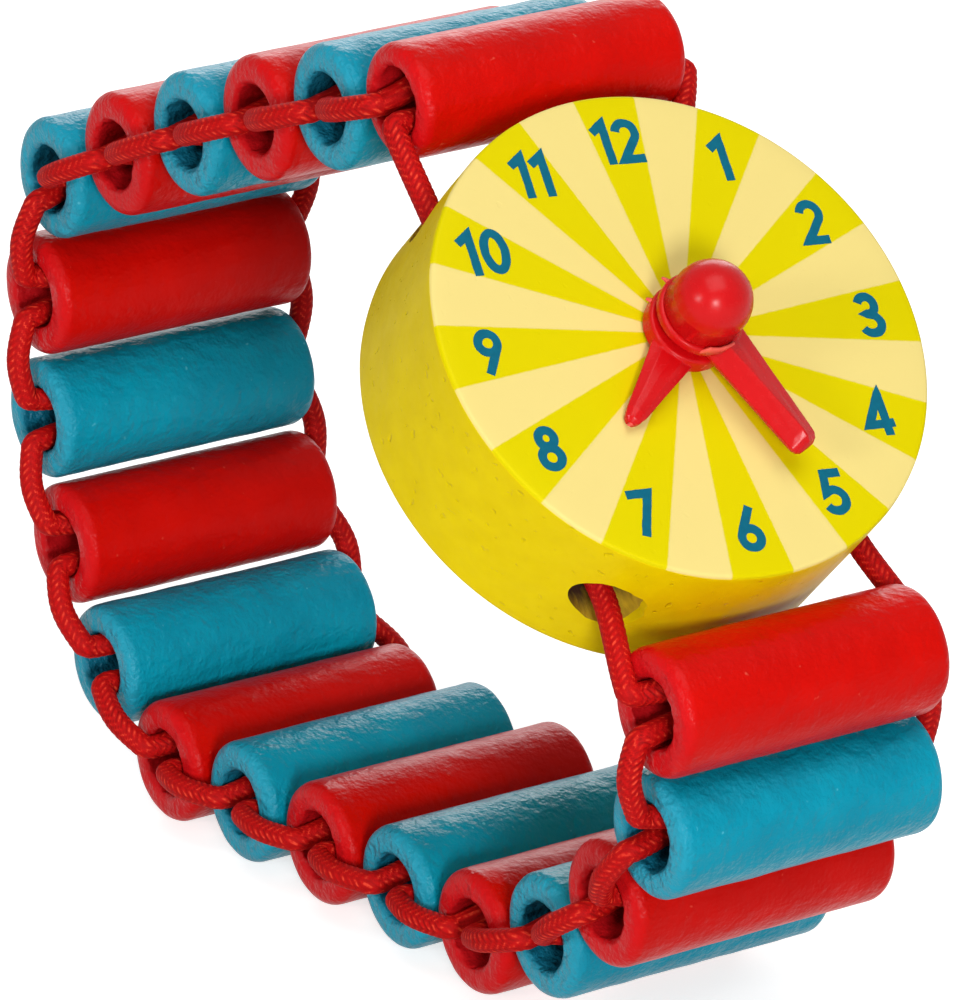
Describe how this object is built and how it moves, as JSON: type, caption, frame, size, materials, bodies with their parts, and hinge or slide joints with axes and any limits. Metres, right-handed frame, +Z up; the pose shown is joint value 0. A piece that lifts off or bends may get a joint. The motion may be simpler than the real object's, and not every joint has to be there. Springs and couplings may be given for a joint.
{
  "type": "toy bracelet watch",
  "caption": "Wooden pretend-play watch: a printed disc with turning hands on an elastic strap of painted tube beads.",
  "frame": {"origin": "on the ground under the middle of the part", "axes": "+Z up, +Y along the beads, the dial faces +X and up"},
  "size_m": [0.0766, 0.032, 0.0589],
  "materials": {
    "yellow_paint": "satin paint on turned wood",
    "red_paint": "gloss paint on turned wood",
    "blue_paint": "satin paint on turned wood",
    "red_plastic": "moulded, slightly worn",
    "elastic_cord": "round braided elastic"
  },
  "bodies": {
    "case": {"case_disc": "yellow_paint", "hand_pin": "red_plastic", "case_cord_left": "elastic_cord", "case_cord_right": "elastic_cord"},
    "hour_hand": {"hour_hand": "red_plastic"},
    "minute_hand": {"minute_hand": "red_plastic"},
    "cord_link_01": {"cord_link_01": "elastic_cord"},
    "cord_link_02": {"cord_link_02": "elastic_cord"},
    "cord_link_03": {"cord_link_03": "elastic_cord"},
    "cord_link_04": {"cord_link_04": "elastic_cord"},
    "cord_link_05": {"cord_link_05": "elastic_cord"},
    "cord_link_06": {"cord_link_06": "elastic_cord"},
    "cord_link_07": {"cord_link_07": "elastic_cord"},
    "cord_link_08": {"cord_link_08": "elastic_cord"},
    "cord_link_09": {"cord_link_09": "elastic_cord", "cord_knot": "elastic_cord"},
    "cord_link_10": {"cord_link_10": "elastic_cord"},
    "cord_link_11": {"cord_link_11": "elastic_cord"},
    "cord_link_12": {"cord_link_12": "elastic_cord"},
    "cord_link_13": {"cord_link_13": "elastic_cord"},
    "cord_link_14": {"cord_link_14": "elastic_cord"},
    "cord_link_15": {"cord_link_15": "elastic_cord"},
    "cord_link_16": {"cord_link_16": "elastic_cord"},
    "cord_link_17": {"cord_link_17": "elastic_cord"},
    "cord_link_18": {"cord_link_18": "elastic_cord"},
    "bead_01": {"bead_01": "red_paint"},
    "bead_02": {"bead_02": "blue_paint"},
    "bead_03": {"bead_03": "red_paint"},
    "bead_04": {"bead_04": "blue_paint"},
    "bead_05": {"bead_05": "red_paint"},
    "bead_06": {"bead_06": "blue_paint"},
    "bead_07": {"bead_07": "red_paint"},
    "bead_08": {"bead_08": "blue_paint"},
    "bead_09": {"bead_09": "red_paint"},
    "bead_10": {"bead_10": "blue_paint"},
    "bead_11": {"bead_11": "red_paint"},
    "bead_12": {"bead_12": "blue_paint"},
    "bead_13": {"bead_13": "red_paint"},
    "bead_14": {"bead_14": "blue_paint"},
    "bead_15": {"bead_15": "red_paint"},
    "bead_16": {"bead_16": "blue_paint"},
    "bead_17": {"bead_17": "red_paint"},
    "bead_18": {"bead_18": "blue_paint"},
    "bead_19": {"bead_19": "red_paint"}
  },
  "joints": [
    {"name": "hour_hand_turn", "type": "hinge", "parent": "case", "child": "hour_hand", "pos_m": [0.0236, 0, 0.04425], "axis": [0.7067, 0, 0.7075], "continuous": true},
    {"name": "minute_hand_turn", "type": "hinge", "parent": "case", "child": "minute_hand", "pos_m": [0.0236, 0, 0.04425], "axis": [0.7067, 0, 0.7075], "continuous": true},
    {"name": "strap_flex", "type": "hinge", "parent": "case", "child": "cord_link_01", "pos_m": [0.00527, 0, 0.05491], "axis": [0, 1, 0], "range_deg": [-12, 12]},
    {"name": "strap_bend_02", "type": "hinge", "parent": "cord_link_01", "child": "cord_link_02", "pos_m": [-0.00257, 0, 0.05237], "axis": [0, 1, 0], "range_deg": [-5.04, 5.04]},
    {"name": "strap_bend_03", "type": "hinge", "parent": "cord_link_02", "child": "cord_link_03", "pos_m": [-0.01033, 0, 0.04955], "axis": [0, 1, 0], "range_deg": [-5.81, 5.81]},
    {"name": "strap_bend_04", "type": "hinge", "parent": "cord_link_03", "child": "cord_link_04", "pos_m": [-0.01798, 0, 0.04646], "axis": [0, 1, 0], "range_deg": [-5.73, 5.73]},
    {"name": "strap_bend_05", "type": "hinge", "parent": "cord_link_04", "child": "cord_link_05", "pos_m": [-0.02552, 0, 0.04312], "axis": [0, 1, 0], "range_deg": [-3.92, 3.92]},
    {"name": "strap_bend_06", "type": "hinge", "parent": "cord_link_05", "child": "cord_link_06", "pos_m": [-0.03294, 0, 0.03951], "axis": [0, 1, 0], "range_deg": [-1.46, 1.46]},
    {"name": "strap_bend_07", "type": "hinge", "parent": "cord_link_06", "child": "cord_link_07", "pos_m": [-0.03428, 0, 0.03137], "axis": [0, 1, 0], "range_deg": [-1.46, 1.46]},
    {"name": "strap_bend_08", "type": "hinge", "parent": "cord_link_07", "child": "cord_link_08", "pos_m": [-0.03363, 0, 0.02314], "axis": [0, 1, 0], "range_deg": [-2.77, 2.77]},
    {"name": "strap_bend_09", "type": "hinge", "parent": "cord_link_08", "child": "cord_link_09", "pos_m": [-0.03103, 0, 0.01532], "axis": [0, 1, 0], "range_deg": [-4.29, 4.29]},
    {"name": "strap_bend_19", "type": "hinge", "parent": "case", "child": "cord_link_18", "pos_m": [0.03428, 0, 0.02594], "axis": [0, 1, 0], "range_deg": [-14.05, 14.05]},
    {"name": "strap_bend_18", "type": "hinge", "parent": "cord_link_18", "child": "cord_link_17", "pos_m": [0.03321, 0, 0.01776], "axis": [0, 1, 0], "range_deg": [-3.15, 3.15]},
    {"name": "strap_bend_17", "type": "hinge", "parent": "cord_link_17", "child": "cord_link_16", "pos_m": [0.02798, 0, 0.01138], "axis": [0, 1, 0], "range_deg": [-5.88, 5.88]},
    {"name": "strap_bend_16", "type": "hinge", "parent": "cord_link_16", "child": "cord_link_15", "pos_m": [0.02121, 0, 0.00667], "axis": [0, 1, 0], "range_deg": [-6.05, 6.05]},
    {"name": "strap_bend_15", "type": "hinge", "parent": "cord_link_15", "child": "cord_link_14", "pos_m": [0.0134, 0, 0.004], "axis": [0, 1, 0], "range_deg": [-4.31, 4.31]},
    {"name": "strap_bend_14", "type": "hinge", "parent": "cord_link_14", "child": "cord_link_13", "pos_m": [0.00515, 0, 0.004], "axis": [0, 1, 0], "range_deg": [-2.52, 2.52]},
    {"name": "strap_bend_13", "type": "hinge", "parent": "cord_link_13", "child": "cord_link_12", "pos_m": [-0.0031, 0, 0.004], "axis": [0, 1, 0], "range_deg": [-1.46, 1.46]},
    {"name": "strap_bend_12", "type": "hinge", "parent": "cord_link_12", "child": "cord_link_11", "pos_m": [-0.01135, 0, 0.004], "axis": [0, 1, 0], "range_deg": [-3.05, 3.05]},
    {"name": "strap_bend_11", "type": "hinge", "parent": "cord_link_11", "child": "cord_link_10", "pos_m": [-0.0196, 0, 0.004], "axis": [0, 1, 0], "range_deg": [-5.44, 5.44]},
    {"name": "bead_01_roll", "type": "hinge", "parent": "case", "child": "bead_01", "pos_m": [0.00527, 0, 0.05491], "axis": [0, 1, 0], "continuous": true},
    {"name": "bead_02_roll", "type": "hinge", "parent": "cord_link_01", "child": "bead_02", "pos_m": [-0.00257, 0, 0.05237], "axis": [0, 1, 0], "continuous": true},
    {"name": "bead_03_roll", "type": "hinge", "parent": "cord_link_02", "child": "bead_03", "pos_m": [-0.01033, 0, 0.04955], "axis": [0, 1, 0], "continuous": true},
    {"name": "bead_04_roll", "type": "hinge", "parent": "cord_link_03", "child": "bead_04", "pos_m": [-0.01798, 0, 0.04646], "axis": [0, 1, 0], "continuous": true},
    {"name": "bead_05_roll", "type": "hinge", "parent": "cord_link_04", "child": "bead_05", "pos_m": [-0.02552, 0, 0.04312], "axis": [0, 1, 0], "continuous": true},
    {"name": "bead_06_roll", "type": "hinge", "parent": "cord_link_05", "child": "bead_06", "pos_m": [-0.03294, 0, 0.03951], "axis": [0, 1, 0], "continuous": true},
    {"name": "bead_07_roll", "type": "hinge", "parent": "cord_link_06", "child": "bead_07", "pos_m": [-0.03428, 0, 0.03137], "axis": [0, 1, 0], "continuous": true},
    {"name": "bead_08_roll", "type": "hinge", "parent": "cord_link_07", "child": "bead_08", "pos_m": [-0.03363, 0, 0.02314], "axis": [0, 1, 0], "continuous": true},
    {"name": "bead_09_roll", "type": "hinge", "parent": "cord_link_08", "child": "bead_09", "pos_m": [-0.03103, 0, 0.01532], "axis": [0, 1, 0], "continuous": true},
    {"name": "bead_10_roll", "type": "hinge", "parent": "cord_link_09", "child": "bead_10", "pos_m": [-0.02661, 0, 0.00835], "axis": [0, 1, 0], "continuous": true},
    {"name": "bead_11_roll", "type": "hinge", "parent": "cord_link_11", "child": "bead_11", "pos_m": [-0.0196, 0, 0.004], "axis": [0, 1, 0], "continuous": true},
    {"name": "bead_12_roll", "type": "hinge", "parent": "cord_link_12", "child": "bead_12", "pos_m": [-0.01135, 0, 0.004], "axis": [0, 1, 0], "continuous": true},
    {"name": "bead_13_roll", "type": "hinge", "parent": "cord_link_13", "child": "bead_13", "pos_m": [-0.0031, 0, 0.004], "axis": [0, 1, 0], "continuous": true},
    {"name": "bead_14_roll", "type": "hinge", "parent": "cord_link_14", "child": "bead_14", "pos_m": [0.00515, 0, 0.004], "axis": [0, 1, 0], "continuous": true},
    {"name": "bead_15_roll", "type": "hinge", "parent": "cord_link_15", "child": "bead_15", "pos_m": [0.0134, 0, 0.004], "axis": [0, 1, 0], "continuous": true},
    {"name": "bead_16_roll", "type": "hinge", "parent": "cord_link_16", "child": "bead_16", "pos_m": [0.02121, 0, 0.00667], "axis": [0, 1, 0], "continuous": true},
    {"name": "bead_17_roll", "type": "hinge", "parent": "cord_link_17", "child": "bead_17", "pos_m": [0.02798, 0, 0.01138], "axis": [0, 1, 0], "continuous": true},
    {"name": "bead_18_roll", "type": "hinge", "parent": "cord_link_18", "child": "bead_18", "pos_m": [0.03321, 0, 0.01776], "axis": [0, 1, 0], "continuous": true},
    {"name": "bead_19_roll", "type": "hinge", "parent": "case", "child": "bead_19", "pos_m": [0.03428, 0, 0.02594], "axis": [0, 1, 0], "continuous": true}
  ],
  "couplings": [
    {"joint": "strap_bend_02", "follows": "strap_flex", "ratio": -0.4187},
    {"joint": "strap_bend_03", "follows": "strap_flex", "ratio": -0.4825},
    {"joint": "strap_bend_04", "follows": "strap_flex", "ratio": -0.4759},
    {"joint": "strap_bend_05", "follows": "strap_flex", "ratio": -0.3248},
    {"joint": "strap_bend_06", "follows": "strap_flex", "ratio": -0.1199},
    {"joint": "strap_bend_07", "follows": "strap_flex", "ratio": 0.12},
    {"joint": "strap_bend_08", "follows": "strap_flex", "ratio": 0.2288},
    {"joint": "strap_bend_09", "follows": "strap_flex", "ratio": 0.3555},
    {"joint": "strap_bend_19", "follows": "strap_flex", "ratio": -1.1691},
    {"joint": "strap_bend_18", "follows": "strap_flex", "ratio": 0.2606},
    {"joint": "strap_bend_17", "follows": "strap_flex", "ratio": 0.488},
    {"joint": "strap_bend_16", "follows": "strap_flex", "ratio": 0.5023},
    {"joint": "strap_bend_15", "follows": "strap_flex", "ratio": 0.3574},
    {"joint": "strap_bend_14", "follows": "strap_flex", "ratio": 0.2081},
    {"joint": "strap_bend_13", "follows": "strap_flex", "ratio": -0.1199},
    {"joint": "strap_bend_12", "follows": "strap_flex", "ratio": -0.2528},
    {"joint": "strap_bend_11", "follows": "strap_flex", "ratio": -0.4518}
  ]
}
